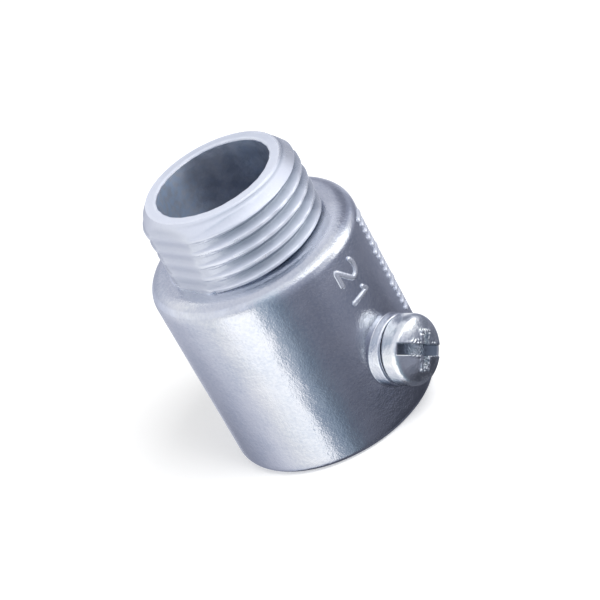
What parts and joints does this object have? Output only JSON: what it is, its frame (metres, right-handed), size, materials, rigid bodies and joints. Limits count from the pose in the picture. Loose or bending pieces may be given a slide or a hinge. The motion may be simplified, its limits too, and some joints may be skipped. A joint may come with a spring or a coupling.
{
  "type": "straight conduit connector",
  "caption": "Straight die-cast conduit connector: a smooth socket hub clamped by a side set screw, stepping down to a threaded nipple with two flats.",
  "frame": {"origin": "centre of the conduit socket's mouth, on the plane of its rim", "axes": "+Z along the socket's axis and out through the threaded nipple, +X from the axis towards the set screw's head"},
  "size_m": [0.0326, 0.0276, 0.0367],
  "materials": {
    "cast_zinc": "as-cast zinc alloy, satin with a fine sandy grain",
    "plated_steel": "bright zinc plating"
  },
  "bodies": {
    "casting": {"connector_body": "cast_zinc"},
    "screw": {"set_screw": "plated_steel"}
  },
  "joints": [
    {"name": "set_screw_travel", "type": "slide", "parent": "casting", "child": "screw", "axis": [1, 0, 0], "range_m": [-0.0002, 0.002]}
  ]
}
